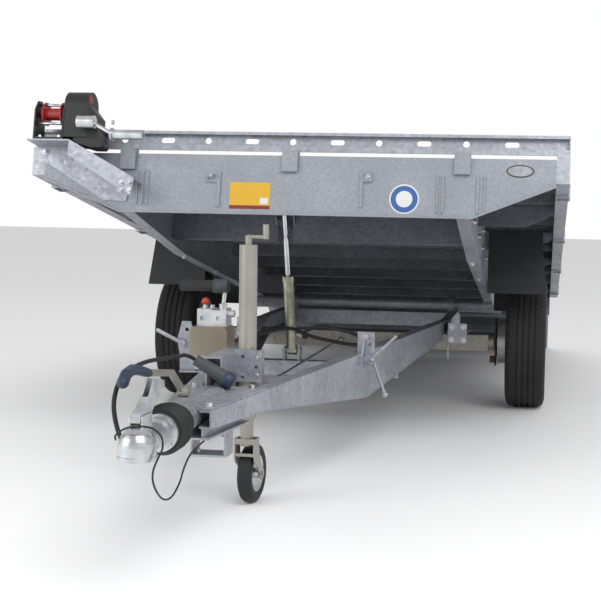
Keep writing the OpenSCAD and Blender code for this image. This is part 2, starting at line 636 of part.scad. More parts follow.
// Channels across the bed: rows of [along the bed, underside, depth of the outriggers]
SILLS = [[640, 4, 90], [1290, 95, 90], [1700, 95, 24], [2096, 95, 90], [2520, 95, 60], [2960, 95, 90], [3400, 95, 90]];
sill_x = beam_x - beam_t;
module bed_sills() {
    color(STEEL) bed() {
        for (s = SILLS) difference() {
            box(-sill_x, sill_x, s[0], s[0] + 60, s[1], deck_v - beam_t);
            box(-sill_x - 1, sill_x + 1, s[0] + 4, s[0] + 61, s[1] + 4, deck_v - beam_t - 4);
            // The front channel's notch for the lift cylinder
            box(-cyl_x - 33, -cyl_x + 33, 639, 701, 0, 112);
        }
        sides() for (s = SILLS) {
            plate_y(s[0], s[0] + 4, [[beam_x, deck_v - s[2]], [inner_x - 120, deck_v - s[2]], [inner_x, deck_v - min(s[2], 30)], [inner_x, deck_v], [beam_x, deck_v]]);
            box(beam_x, inner_x, s[0], s[0] + 30, deck_v - 4, deck_v);
        }
        // Hinge lugs of the ramp
        for (x = [-850, -300, 292, 842]) difference() {
            plate_x(x, x + 8, [[bed_len, deck_v - 20], [ramp_u - 6, ramp_v - 20], [ramp_u + 8, ramp_v - 20], [ramp_u + 20, ramp_v - 8], [ramp_u + 20, ramp_v + 8], [ramp_u + 8, ramp_v + 20], [bed_len, ramp_v + 20]]);
            translate([x - 1, ramp_u, ramp_v]) rod_x(0, 10, ramp_hinge_r + seat);
        }
        box(-inner_x, inner_x, bed_len - 6, bed_len, 20, deck_v);
        box(-beam_x + beam_w + 1, beam_x - beam_w - 1, bed_len - 50, bed_len, deck_v - 4, deck_v);
        sides() box(beam_x + 1, inner_x, bed_len - 50, bed_len, deck_v - 4, deck_v);
        // Ears of the lift cylinder's top pin, which belongs to the rod
        for (s = [-1, 1]) {
            plate_x(-cyl_x + s * 40 - 3, -cyl_x + s * 40 + 3, [[640, 70], [640, deck_v - 12], [cyl_top_u - 18, deck_v - 20], [cyl_top_u - 20, cyl_top_v - 16], [cyl_top_u + 10, cyl_top_v - 24]]);
            translate([-cyl_x + s * 46, cyl_top_u, cyl_top_v]) rod_x(-4, 4, 15);
        }
    }
}
module bed_stringers() {
    color(STEEL) bed() for (x = [-beam_x + beam_w + 26, -270, 70, 420])
        for (i = [0 : len(SILLS) - 2])
            box(x - 20, x + 20, SILLS[i][0] + 61, SILLS[i + 1][0] - 1, deck_v - 34, deck_v - 0.5);
}
module deck_planks() {
    u0 = panel_t + 22;
    w = (bed_len - 4 - u0 - (plank_n - 1) * plank_gap) / plank_n;
    color("#54565a") bed() for (i = [0 : plank_n - 1]) {
        u = u0 + i * (w + plank_gap);
        difference() {
            box(-inner_x, inner_x, u, u + w, deck_v, deck_top);
            box(-inner_x - 1, inner_x + 1, u + plank_t, u + w - plank_t, deck_v - 1, deck_top - plank_t);
        }
    }
}
// Side rails: a hollow rail with the shoes of its stake pockets
module side_rail() {
    pitch = (bed_len - 2 * pocket_end) / (pocket_n - 1);
    color(STEEL) {
        difference() {
            box(inner_x, rail_x, 0, bed_len, rail_v, rail_top);
            box(inner_x + rail_t, rail_x - rail_t, 60, bed_len + 1, rail_v + rail_t, rail_top - rail_t);
        }
        for (i = [0 : pocket_n - 1]) translate([0, pocket_end + i * pitch, 0]) difference() {
            box(inner_x, rail_x + 6, -45, 45, rail_v - 8, rail_v + 46);
            box(inner_x - 1, rail_x, -46, 46, rail_v, rail_v + 50);
            box(inner_x + 6, rail_x - 2, -38, 38, rail_v - 9, rail_v + 1);
        }
    }
}
module side_rail_left() { bed() side(-1) side_rail(); }
module side_rail_right() { bed() side_rail(); }
module front_panel() {
    w = inner_x - seat;
    color("#989ca2") bed() {
        outline = [[-panel_low, 0], [panel_low, 0], [w, panel_corner], [w, panel_h], [-w, panel_h], [-w, panel_corner]];
        plate_y(0, panel_t, outline);
        box(-w, w, 0, 20, panel_h - panel_t, panel_h);
        // The lip along the lower and the slanted edges
        plate_y(-8, 0, [[-w, panel_corner], [-panel_low, 0], [panel_low, 0], [w, panel_corner], [w, panel_corner + 6], [panel_low - 2, 5], [-panel_low + 2, 5], [-w, panel_corner + 6]]);
        // Pressed ribs and clips, rows of [left side, right side, lower edge, upper edge]
        for (r = [[-630, -622, 30, 165], [-606, -600, 30, 165], [-588, -580, 30, 165], [-305, -291, 28, 168], [-345, -305, 125, 168],
                [258, 270, 36, 172], [270, 303, 135, 172], [555, 561, 20, 165], [576, 584, 20, 165], [708, 716, 20, 165], [735, 741, 20, 165]])
            box(r[0], r[1], -6, 0, r[2], r[3]);
        // Tabs that carry the slotted rail
        for (x = [-698, -50, 620]) {
            box(x, x + 62, -14, -8, 170, slot_v - seat);
            box(x, x + 62, -14, 0.5, panel_h - 12, slot_v - seat);
            box(x, x + 62, 0, 26, panel_h, slot_v - seat);
            box(x, x + 62, -9, 0, 176, 186);
        }
    }
}
// The slotted rail: a lipped channel with long slots and round holes in turn
module slotted_rail() {
    y0 = 21;
    s = slot_v;
    t = slot_v + slot_rail_h;
    color(STEEL) bed() difference() {
        union() {
            plate_x(-rail_x, rail_x, [[y0, s], [y0 + 4, s], [y0 + 4, s + 18], [y0 + 30, s + 18], [y0 + 30, t], [y0, t], [y0, t - 12], [y0 + 4, t - 12], [y0 + 4, t - 4], [y0 + 26, t - 4], [y0 + 26, s + 22], [y0, s + 22]]);
            for (x = [-rail_x, rail_x - 4]) box(x, x + 4, y0, y0 + 30, s, t);
        }
        for (i = [-2 : 2]) translate([155 + i * slot_pitch, y0 + 24, s + 46]) {
            box(-17, 17, 0, 10, -11, 11);
            for (k = [-1, 1]) translate([k * 17, 0, 0]) rotate([-90, 0, 0]) cylinder(h = 10, r = 11, $fn = 24);
        }
        for (i = [-2 : 2]) translate([-22 + i * slot_pitch, y0 + 24, s + 46]) rotate([-90, 0, 0]) cylinder(h = 10, r = 13, $fn = 32);
    }
}
// Hand winch on its folded stand at the left end of the panel

// A frame at the left end of the panel
module at_stand() { bed() translate([-inner_x, 0, 0]) children(); }
module winch_stand() {
    top = [[-31, 261], [137, 261], [407, 114]];
    color(STEEL) at_stand() {
        // Back plate on the panel, slanting top and the lighter front flange
        plate_y(-6.6, 0, [[-36, 261], [-36, 218], [255, 44], [341, 42], [369, 128], [137, 255], [137, 261]]);
        plate_y(-115, -6.3, concat(top, reversed([for (p = top) p - [0, 6]])));
        plate_y(-115, -109, [[137, 259], [407, 112], [399, 41], [137, 200]]);
    }
}
module winch_frame() {
    color("#1d1e20") at_stand() {
        box(-10, 110, -112, -12, 261.3, 270);
        for (x = [-10, 104]) difference() {
            plate_x(x, x + 6, [[-112, 261.3], [-14, 261.3], [-22, 380], [-54, 424], [-88, 418], [-112, 378]]);
            translate([x - 1, -60, 372]) rod_x(0, 8, 12.3);
        }
    }
}
module winch_drum() {
    color("#8e1518") at_stand() translate([0, -60, 372]) {
        for (x = [16, 88]) rod_x(x, x + 5, 46);
        rod_x(14, 96, 24);
        rod_x(-12, 128, 12);
    }
}
module winch_cover() {
    color("#18191b") at_stand() difference() {
        union() {
            translate([110.3, -52, 402]) rod_x(0, 92, 60);
            hull() {
                box(110.3, 205, -110, -14, 272, 400);
                box(205, 244, -104, -20, 272, 356);
                box(124, 190, -96, -28, 272, 424);
            }
            plate_y(-104, -30, [[150, 290], [150, 258], [178, 245], [221, 233], [262, 233], [268, 240], [266, 262], [244, 300]]);
        }
        translate([100, -60, 372]) rod_x(0, 40, 12.3);
    }
}
module winch_crank() {
    color("#c4c6c8") at_stand() translate([0, -135.6, 324]) {
        rod_x(178, 246, 25);
        bar([240, 0, -4], [322, 0, -48], 8);
        rod_x(314, 322, 8);
    }
    color("#141516") at_stand() translate([0, -135.6, 276]) {
        rod_x(314, 442, 19);
        rod_x(314, 322, 26);
    }
}
module mudflaps() {
    x0 = beam_x + 17;
    x1 = inner_x - 24;
    color("#161719") bed() sides() for (s = [SILLS[1], SILLS[3]])
        plate_y(s[0] - 8, s[0] - seat, [[x0, deck_v - 1], [x0, -128], [x1, -128], [x1 - 24, 100], [x1 - 24, deck_v - 1]]);
}
module rear_lamps() {
    x1 = inner_x - 19;
    color("#a3171a") bed() sides() {
        box(x1 - 230, x1, bed_len - 46, bed_len - 6.3, 40, 132);
        box(beam_x + 17, x1 - 234, bed_len - 30, bed_len - 6.3, 60, 110);
    }
}

// Ramp, in a frame at its hinge with y along the ramp

module ramp() { place() translate([0, hinge_y, hinge_z]) rotate([-ramp_a, 0, 0]) children(); }
module ramp_frame() {
    x = inner_x - 6;
    color(STEEL) ramp() {
        rod_x(-x + 40, x - 40, ramp_hinge_r);
        sides() plate_x(x - 40, x, [[0, -ramp_hinge_r], [ramp_len - 60, -ramp_hinge_r], [ramp_len, 0], [ramp_len, 3], [ramp_len - 30, ramp_h - ramp_hinge_r], [0, ramp_h - ramp_hinge_r]]);
        for (y = [100, 320, 540]) box(-x + 40, x - 40, y, y + 40, -ramp_hinge_r, ramp_h - ramp_hinge_r - 6);
        plate_x(-x + 40, x - 40, [[ramp_len - 70, -ramp_hinge_r + 2], [ramp_len - 60, -ramp_hinge_r], [ramp_len, 0], [ramp_len, 3], [ramp_len - 40, ramp_h - ramp_hinge_r - 6]]);
    }
}
module ramp_deck() {
    x = inner_x - 6;
    top = ramp_h - ramp_hinge_r;
    color("#6a6c70") ramp() {
        box(-x + 40, x - 40, 20, ramp_len - 42, top - 6, top);
        for (i = [-6 : 6]) box(i * 145 - 4, i * 145 + 4, 90, ramp_len - 60, top - 1, top + 3);
    }
}

// Lift cylinder, in a frame at its base pin with y towards the top pin

module lift() { place() translate([-cyl_x, cyl_base_y, cyl_base_z]) rotate([cyl_a, 0, 0]) children(); }
module cylinder_barrel() {
    color("#a9a99c") lift() difference() {
        union() {
            rod_x(-20, 20, 20);
            translate([0, 14, 0]) rotate([-90, 0, 0]) cylinder(h = cyl_barrel - 14, r = cyl_r);
            translate([0, cyl_barrel - 26, 0]) rotate([-90, 0, 0]) cylinder(h = 26, r = cyl_r + 3);
            // The hose's port
            translate([0, 80, 0]) rod_x(cyl_r - 4, 40.7, 10);
        }
        rod_x(-21, 21, 10.3);
        translate([0, 40, 0]) rotate([-90, 0, 0]) cylinder(h = cyl_barrel, r = rod_r + 0.3);
    }
}
module cylinder_rod() {
    color("#d5d7da") lift() {
        translate([0, cyl_len - rod_len, 0]) rotate([-90, 0, 0]) cylinder(h = rod_len - 12, r = rod_r);
        translate([0, cyl_len, 0]) rod_x(-14, 14, 18);
        // The eye's pin, clear of the bed's ears, so that the open linkage may drift
        translate([0, cyl_len, 0]) rod_x(-36.5, 36.5, 10);
    }
}

drawbar_left();
drawbar_right();
drawbar_bridge();
overrun_housing();
overrun_bellows();
coupling_head();
coupling_handle();
handbrake_lever();
handbrake_grip();
jockey_clamp();
jockey_tube();
pump_tank();
pump_head();
pump_lever();
cylinder_bridge();
latch_left();
latch_right();
axle_tube();
axle_bracket_left();
axle_bracket_right();
brake_left();
brake_right();
pivot_cross_tube();
pivot_bearings();
electric_plug();
plug_cable();
breakaway_cable();
hydraulic_hose();
jockey_fork();
jockey_tyre();
jockey_hub();
tyre_left();
tyre_right();
rim_left();
rim_right();
bed_beam_left();
bed_beam_right();
bed_sills();
bed_stringers();
pivot_tube();
deck_planks();
side_rail_left();
side_rail_right();
front_panel();
slotted_rail();
winch_stand();
winch_frame();
winch_drum();
winch_cover();
winch_crank();
mudflaps();
rear_lamps();
ramp_frame();
ramp_deck();
cylinder_barrel();
cylinder_rod();
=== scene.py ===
"""Finish of the tilting-bed car transporter trailer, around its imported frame.

Everything is in metres in the part's own frame: +X to the trailer's right,
+Y to the rear, +Z up, the ground at Z = 0.
"""
import json
import math

import bpy
import numpy as np
from mathutils import Matrix, Vector


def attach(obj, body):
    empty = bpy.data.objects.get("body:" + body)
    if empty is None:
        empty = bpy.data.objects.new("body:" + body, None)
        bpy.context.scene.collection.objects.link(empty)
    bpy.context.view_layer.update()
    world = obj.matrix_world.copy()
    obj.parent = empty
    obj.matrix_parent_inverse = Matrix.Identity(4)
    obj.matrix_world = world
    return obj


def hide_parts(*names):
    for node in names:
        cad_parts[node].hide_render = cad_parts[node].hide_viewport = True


bl_info = {
    "name": "Car transporter trailer finish",
    "version": (1, 0, 0),
    "blender": (4, 5, 0),
    "location": "View3D > Sidebar > Trailer",
    "description": "Adds the finish and the small pieces of a tilting car transporter trailer",
    "category": "Object",
}

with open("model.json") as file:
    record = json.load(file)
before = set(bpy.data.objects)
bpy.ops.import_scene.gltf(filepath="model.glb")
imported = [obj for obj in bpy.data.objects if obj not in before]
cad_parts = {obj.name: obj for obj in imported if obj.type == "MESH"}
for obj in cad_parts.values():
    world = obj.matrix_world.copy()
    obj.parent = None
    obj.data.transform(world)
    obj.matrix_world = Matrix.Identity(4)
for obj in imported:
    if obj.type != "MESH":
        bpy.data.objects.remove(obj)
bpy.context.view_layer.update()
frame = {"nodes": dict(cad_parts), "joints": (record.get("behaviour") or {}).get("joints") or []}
JOINTS = {j["name"]: j for j in frame["joints"]}
TAU = 2 * math.pi


# Places that the frame gives

def joint_place(name):
    """The point on a joint's axis, in metres."""
    return np.array(JOINTS[name]["pos_m"], float)


WHEEL = joint_place("wheel_right_spin")
PIVOT = joint_place("bed_tilt")
BED_TILT = math.radians(JOINTS["bed_tilt"]["range_deg"][1])
# The tilt pivot's place along the bed, and below the front panel's lower edge
PIVOT_U = 2.350
PIVOT_DROP = 0.0756
# The axle behind the drawbar's datum, and the front panel's end from the middle
AXLE_BEHIND_DATUM = 3.365
PANEL_END = 1.009
DATUM_Y = WHEEL[1] - AXLE_BEHIND_DATUM
BED_SIDE = np.array([1.0, 0.0, 0.0])
BED_ALONG = np.array([0.0, math.cos(BED_TILT), -math.sin(BED_TILT)])
BED_UP = np.array([0.0, math.sin(BED_TILT), math.cos(BED_TILT)])


def on_bed(x, u, v):
    """A point x across the bed, u along it from its front and v above the front
    panel's lower edge, turned with the bed's tilt about its pivot."""
    x, u, v = np.broadcast_arrays(np.asarray(x, float), u, v)
    return (PIVOT + x[..., None] * BED_SIDE
            + (u[..., None] - PIVOT_U) * BED_ALONG
            + (v[..., None] + PIVOT_DROP) * BED_UP)


def on_stand(x, u, v):
    """A point by the winch, with x from the left end of the front panel."""
    return on_bed(x - PANEL_END, u, v)


def from_datum(x, y, z):
    """A point given from the drawbar's datum on the ground."""
    return np.array([x, DATUM_Y + y, z], float)


# Nodes and materials

def srgb(text):
    """Linear RGBA of an sRGB hex colour such as #A0A4A8."""
    part = np.array([int(text[i:i + 2], 16) / 255 for i in (1, 3, 5)])
    linear = np.where(part <= 0.04045, part / 12.92, ((part + 0.055) / 1.055) ** 2.4)
    return (*linear.tolist(), 1.0)


def add(tree, kind, settings=None, **links):
    """Adds one shader node. settings are its properties or socket values, and
    links maps a socket's name, with _ for a space, to a value or an output."""
    item = tree.nodes.new(kind)
    for key, value in (settings or {}).items():
        if isinstance(key, str) and hasattr(item, key):
            setattr(item, key, value)
        else:
            item.inputs[key].default_value = value
    for key, source in links.items():
        socket = item.inputs[int(key[1:]) if key[0] == "i" and key[1:].isdigit() else key.replace("_", " ")]
        if isinstance(source, bpy.types.NodeSocket):
            tree.links.new(source, socket)
        else:
            socket.default_value = source
    return item


def ramp(tree, fac, stops):
    """A colour ramp over (place, hex colour) stops."""
    item = tree.nodes.new("ShaderNodeValToRGB")
    elements = item.color_ramp.elements
    while len(elements) < len(stops):
        elements.new(0.5)
    for element, (place, colour) in zip(elements, stops):
        element.position = place
        element.color = srgb(colour)
    tree.links.new(fac, item.inputs["Fac"])
    return item


def level(tree, fac, low, high):
    """A value between low and high as fac goes from 0 to 1."""
    item = add(tree, "ShaderNodeMapRange", {"To Min": low, "To Max": high})
    tree.links.new(fac, item.inputs["Value"])
    return item.outputs["Result"]


def noise(tree, where, scale, detail, roughness=0.5):
    """A noise texture's value over the object, scale being in cells to a metre."""
    return add(tree, "ShaderNodeTexNoise", {"Scale": scale, "Detail": detail, "Roughness": roughness},
               Vector=where).outputs["Fac"]


def shaded(tree, shader, fac, stops, roughness):
    """Colours the shader by a ramp over fac, and its roughness between two values."""
    tree.links.new(ramp(tree, fac, stops).outputs["Color"], shader.inputs["Base Color"])
    tree.links.new(level(tree, fac, *roughness), shader.inputs["Roughness"])


def surface(name, metallic=0.0, roughness=0.5, coat=0.0):
    """A new material, its tree, its Principled shader and the object's coordinates."""
    mat = bpy.data.materials.new(name)
    mat.use_nodes = True
    tree = mat.node_tree
    shader = tree.nodes["Principled BSDF"]
    shader.inputs["Metallic"].default_value = metallic
    shader.inputs["Roughness"].default_value = roughness
    shader.inputs["Coat Weight"].default_value = coat
    where = tree.nodes.new("ShaderNodeTexCoord").outputs["Object"]
    return mat, tree, shader, where


def bumped(tree, shader, height, distance, strength=0.5):
    """Feeds a height into the shader's normal; distance is in metres."""
    bump = add(tree, "ShaderNodeBump", {"Distance": distance, "Strength": strength}, Height=height)
    tree.links.new(bump.outputs["Normal"], shader.inputs["Normal"])


def galvanised(name, tones, spangle_mm=14.0, metallic=0.75, roughness=(0.38, 0.6), dirt=0.35):
    """Hot-dip galvanised steel: zinc crystals some 10 to 20 mm across, each of its
    own tone, over soft clouds of duller zinc, with white bloom here and there."""
    mat, tree, shader, where = surface(name, metallic)
    crystals = add(tree, "ShaderNodeTexVoronoi", {"Scale": 1000 / spangle_mm, "Randomness": 1.0},
                   Vector=where)
    clouds = noise(tree, where, 4.0, 5.0, 0.6)
    fine = noise(tree, where, 60.0, 3.0)
    tone = add(tree, "ShaderNodeSeparateColor", Color=crystals.outputs["Color"])
    mixed = add(tree, "ShaderNodeMath", {"operation": "MULTIPLY_ADD", 1: 0.32},
                i0=tone.outputs["Red"], i2=level(tree, clouds, -0.1, 0.75))
    colour = ramp(tree, mixed.outputs["Value"], tones)
    bloom = ramp(tree, fine, [(0.62, "#000000"), (0.8, "#FFFFFF")])
    blend = add(tree, "ShaderNodeMix", {"data_type": "RGBA"})
    tree.links.new(add(tree, "ShaderNodeMath", {"operation": "MULTIPLY", 1: dirt * 0.5},
                       i0=bloom.outputs["Color"]).outputs["Value"], blend.inputs["Factor"])
    tree.links.new(colour.outputs["Color"], blend.inputs["A"])
    blend.inputs["B"].default_value = srgb("#C9CBCC")
    tree.links.new(blend.outputs["Result"], shader.inputs["Base Color"])
    tree.links.new(level(tree, tone.outputs["Green"], *roughness), shader.inputs["Roughness"])
    bumped(tree, shader, mixed.outputs["Value"], 0.0004, 0.25)
    return mat


def lacquer(name, low, high, roughness=0.4, metallic=0.0, coat=0.2, peel_mm=3.0):
    """Sprayed paint: even colour with slow clouds of tone, a thin clear coat and
    orange peel a few millimetres across."""
    mat, tree, shader, where = surface(name, metallic, roughness, coat)
    clouds = noise(tree, where, 3.0, 6.0, 0.65)
    shaded(tree, shader, clouds, [(0.3, low), (0.7, high)], (roughness - 0.08, roughness + 0.12))
    bumped(tree, shader, noise(tree, where, 1000 / peel_mm, 2.0), 0.0002, 0.3)
    return mat


def moulded(name, low, high, roughness=0.55, grain_mm=1.2, dust=0.3):
    """Moulded plastic or rubber: a fine spark-eroded grain and a film of dust
    that dulls it in patches."""
    mat, tree, shader, where = surface(name, 0.0, roughness)
    dusty = noise(tree, where, 9.0, 6.0, 0.7)
    shaded(tree, shader, dusty, [(0.35, low), (0.35 + 0.9 * (1 - dust), high)],
           (roughness - 0.1, roughness + 0.15))
    bumped(tree, shader, noise(tree, where, 1000 / grain_mm, 2.0), 0.0003, 0.35)
    return mat


def bright_metal(name, low, high, roughness=0.28, brush_mm=2.0, metallic=1.0):
    """Zinc-plated or machined metal: fine streaks along it and a soft mottle."""
    mat, tree, shader, where = surface(name, metallic, roughness)
    stretched = add(tree, "ShaderNodeMapping", {"Scale": (1000 / brush_mm, 1000 / brush_mm, 12.0)},
                    Vector=where)
    mottle = noise(tree, where, 22.0, 5.0)
    shaded(tree, shader, mottle, [(0.35, low), (0.65, high)], (roughness - 0.06, roughness + 0.14))
    bumped(tree, shader, noise(tree, stretched.outputs["Vector"], 1.0, 3.0), 0.0001, 0.3)
    return mat


def rusted(name, low, high):
    """Cast iron left bare: brown rust in clouds, rough and without shine."""
    mat, tree, shader, where = surface(name, 0.15, 0.85)
    clouds = noise(tree, where, 30.0, 8.0, 0.7)
    colour = ramp(tree, clouds, [(0.3, low), (0.7, high)])
    tree.links.new(colour.outputs["Color"], shader.inputs["Base Color"])
    bumped(tree, shader, clouds, 0.001, 0.6)
    return mat


MATERIALS = {}


def make_materials():
    """One material for each finish, under a short key; the deck's and the under pieces' are darkened with
    painted shade.
    """
    m = MATERIALS
    # Batch-galvanised beams: pale zinc with clear crystals
    m["galvanised"] = galvanised("galvanised_steel", [(0.0, "#85888F"), (0.5, "#A5A8B0"), (1.0, "#C4C7CD")])
    # Sheet of the front panel: evenly dull, small crystals
    m["panel"] = galvanised("galvanised_sheet", [(0.0, "#83878E"), (0.5, "#94989F"), (1.0, "#A9ADB3")],
                            spangle_mm=7.0, metallic=0.55, roughness=(0.5, 0.62), dirt=0.15)
    # Deck planks and the ramp's deck: darker zinc, painted shade for the underside of the bed
    m["deck"] = galvanised("weathered_galvanised_plank",
                           [(0.0, "#55585D"), (0.5, "#6E7176"), (1.0, "#8B8E92")],
                           spangle_mm=12.0, metallic=0.6, roughness=(0.5, 0.7))
    # Sills and stringers under the bed: darker zinc as painted shade, for they are out of the light
    m["under"] = galvanised("shaded_galvanised_steel",
                            [(0.0, "#5D6168"), (0.5, "#767A82"), (1.0, "#92969D")],
                            spangle_mm=14.0, metallic=0.7, roughness=(0.45, 0.65), dirt=0.1)
    m["axle"] = galvanised("galvanised_axle", [(0.0, "#77756F"), (0.5, "#908D85"), (1.0, "#A8A59C")],
                           metallic=0.6)
    m["bright"] = bright_metal("bright_zinc_plate", "#B4B7BB", "#D6D8DA")
    m["cast_aluminium"] = bright_metal("cast_aluminium", "#B9BCC0", "#D3D5D7", 0.42, 6.0, 0.9)
    m["jockey_paint"] = lacquer("grey_beige_lacquer", "#8E8B82", "#A5A298", 0.33, 0.45, 0.3)
    m["tank"] = lacquer("warm_grey_tank_paint", "#79705F", "#958B7C", 0.4, 0.3)
    m["drum_red"] = lacquer("red_drum_paint", "#7C1214", "#A01A1B", 0.35)
    m["barrel"] = bright_metal("yellowish_zinc_barrel", "#A09F8C", "#C2C1AE", 0.3)
    m["rim"] = lacquer("silver_wheel_lacquer", "#AEB0B3", "#C0C2C4", 0.32, 0.6, 0.4)
    m["chrome"] = bright_metal("hard_chrome", "#D8DADD", "#E6E8EA", 0.08)
    m["rust"] = rusted("rusty_cast_iron", "#4A3323", "#7A5638")
    m["tyre"] = moulded("tyre_rubber", "#141415", "#2A2A2A", 0.72, 2.0, 0.45)
    m["rubber"] = moulded("moulded_rubber", "#121314", "#232425", 0.6, 1.5)
    m["black_plastic"] = moulded("black_polyamide", "#151617", "#262729", 0.45)
    m["grey_plastic"] = moulded("dark_grey_polyamide", "#393B3F", "#4A4C50", 0.5)
    m["navy"] = moulded("navy_grip_vinyl", "#1F2A3F", "#31405C", 0.4)
    m["knob"] = moulded("orange_red_plastic", "#B5361B", "#D2492A", 0.35)
    m["flap"] = moulded("black_polythene_flap", "#17181A", "#2B2C2E", 0.55, 4.0)
    m["lamp"] = lacquer("red_lamp_lens", "#8E0F12", "#B3171A", 0.12, 0.0, 0.8)
    m["yellow"] = lacquer("yellow_label_film", "#C79A1C", "#D3A826", 0.5, peel_mm=8.0)
    m["label_red"] = lacquer("dark_red_label_film", "#6F1C1A", "#802321", 0.5, peel_mm=8.0)
    m["white"] = lacquer("white_label_film", "#C6C8CA", "#D6D7D8", 0.5, peel_mm=8.0)
    m["blue"] = lacquer("blue_label_film", "#26508F", "#2F5C9E", 0.5, peel_mm=8.0)
    m["oval"] = bright_metal("stamped_oval_plate", "#8A8D91", "#A9ACAF", 0.4, 4.0, 0.7)


# Deck planks, ramp deck, stringers and sills take darker materials that paint the shade under the bed
NODE_MATERIALS = {
    "overrun_bellows": "rubber", "coupling_head": "bright", "coupling_handle": "bright",
    "handbrake_lever": "jockey_paint", "handbrake_grip": "navy", "jockey_tube": "jockey_paint",
    "pump_tank": "tank", "pump_head": "cast_aluminium", "pump_lever": "black_plastic", "axle_tube": "axle",
    "brake_left": "rust", "brake_right": "rust", "electric_plug": "grey_plastic", "plug_cable": "rubber",
    "breakaway_cable": "rubber", "hydraulic_hose": "rubber", "jockey_fork": "jockey_paint",
    "jockey_tyre": "rubber", "jockey_hub": "bright", "tyre_left": "tyre", "tyre_right": "tyre",
    "rim_left": "rim", "rim_right": "rim", "deck_planks": "deck", "bed_stringers": "under",
    "bed_sills": "under", "front_panel": "panel", "winch_frame": "black_plastic", "winch_drum": "drum_red",
    "winch_cover": "black_plastic", "winch_crank": "bright", "mudflaps": "flap", "rear_lamps": "lamp",
    "ramp_deck": "deck", "cylinder_barrel": "barrel", "cylinder_rod": "chrome",
}


# Meshes worked out with numpy

def make_piece(name, points, faces, material, body, slot, smooth=True):
    """A mesh object from arrays, placed by its vertices, riding on a CAD body."""
    mesh = bpy.data.meshes.new(name)
    mesh.from_pydata(np.asarray(points, float).reshape(-1, 3).tolist(), [], [list(f) for f in faces])
    mesh.materials.append(MATERIALS[material])
    mesh.polygons.foreach_set("use_smooth", np.full(len(mesh.polygons), smooth))
    mesh.update()
    obj = bpy.data.objects.new(name, mesh)
    bpy.context.collection.objects.link(obj)
    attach(obj, body)
    return obj


def grid_faces(rows, columns, close_rows=False):
    """Quads over a rows by columns grid. Columns close round, and rows if asked."""
    i = np.arange(rows if close_rows else rows - 1)
    j = np.arange(columns)
    a, b = np.meshgrid(i, j, indexing="ij")
    a2, b2 = (a + 1) % rows, (b + 1) % columns
    quads = np.stack([a * columns + b, a * columns + b2, a2 * columns + b2, a2 * columns + b], -1)
    return quads.reshape(-1, 4).tolist()


def axes_about(direction):
    """The unit direction, and two unit vectors square to it and to each other."""
    d = np.asarray(direction, float) / np.linalg.norm(direction)
    side = np.cross(d, [0.0, 0.0, 1.0] if abs(d[2]) < 0.9 else [1.0, 0.0, 0.0])
    side /= np.linalg.norm(side)
    return d, side, np.cross(d, side)


def revolved(profile, centre, direction, count=48):
    """Points of a profile of (along, radius) rows turned about a line: ring i is
    centre + along * d + radius * (cos t * s + sin t * w), t over a full turn."""
    d, s, w = axes_about(direction)
    t = np.arange(count) * TAU / count
    along, radius = np.array(profile, float).T
    ring = np.cos(t)[:, None] * s + np.sin(t)[:, None] * w
    points = np.asarray(centre) + along[:, None, None] * d + radius[:, None, None] * ring
    # Rings run so that the faces point outwards
    faces = [f[::-1] for f in grid_faces(len(profile), count)]
    return points.reshape(-1, 3), faces


def capped(points, faces, rows, count):
    """Adds the two end faces of a revolved or swept tube."""
    first = list(range(count))
    last = list(range((rows - 1) * count, rows * count))
    return points, faces + [first, last[::-1]]


def turned(profile, centre, direction, count):
    """A solid of a profile turned about a line, closed at both ends."""
    return capped(*revolved(profile, centre, direction, count), len(profile), count)


def joined(parts):
    """One set of points and faces from several."""
    points, faces, start = [], [], 0
    for p, f in parts:
        points.append(np.asarray(p, float).reshape(-1, 3))
        faces += [[i + start for i in face] for face in f]
        start += len(points[-1])
    return np.concatenate(points), faces


def smooth_path(knots, count):
    """A cubic through the knots: each span is the Catmull-Rom blend of its four
    nearest knots, and the whole is sampled evenly in length."""
    k = np.asarray(knots, float)
    k = np.concatenate([[2 * k[0] - k[1]], k, [2 * k[-1] - k[-2]]])
    t = np.linspace(0, 1, 24, endpoint=False)[:, None]
    spans = [0.5 * (2 * b + (c - a) * t + (2 * a - 5 * b + 4 * c - d) * t ** 2
                    + (3 * b - a - 3 * c + d) * t ** 3)
             for a, b, c, d in zip(k, k[1:], k[2:], k[3:])]
    dense = np.concatenate(spans + [k[-2][None]])
    run = np.concatenate([[0], np.cumsum(np.linalg.norm(np.diff(dense, axis=0), axis=1))])
    even = np.linspace(0, run[-1], count)
    return np.stack([np.interp(even, run, dense[:, i]) for i in range(3)], 1)


def swept(path, radius, count=12):
    """A round tube along a path: at each point a ring square to the tangent,
    whose first axis is carried along without twist. radius may be an array."""
    p = np.asarray(path, float)
    tangent = np.gradient(p, axis=0)
    tangent /= np.linalg.norm(tangent, axis=1)[:, None]
    side = axes_about(tangent[0])[1]
    sides = np.empty_like(p)
    for i, t in enumerate(tangent):
        side = side - t * np.dot(side, t)
        side = side / np.linalg.norm(side)
        sides[i] = side
    up = np.cross(tangent, sides)
    a = np.arange(count) * TAU / count
    r = np.broadcast_to(np.asarray(radius, float), len(p))
    ring = (np.cos(a)[None, :, None] * sides[:, None] + np.sin(a)[None, :, None] * up[:, None])
    points = p[:, None] + r[:, None, None] * ring
    faces = [f[::-1] for f in grid_faces(len(p), count)]
    return capped(points.reshape(-1, 3), faces, len(p), count)


def solid_plate(outline, normal, thickness):
    """A flat plate: an outline of points and its copy pushed along the normal."""
    low = np.asarray(outline, float)
    n = len(low)
    points = np.concatenate([low, low + np.asarray(normal) * thickness])
    sides = [[i, (i + 1) % n, n + (i + 1) % n, n + i] for i in range(n)]
    return points, sides + [list(range(n))[::-1], list(range(n, 2 * n))]


# Widths across the flats of the bolts' heads, by their thread in millimetres
M6 = 0.010
M8 = 0.013
M10 = 0.017


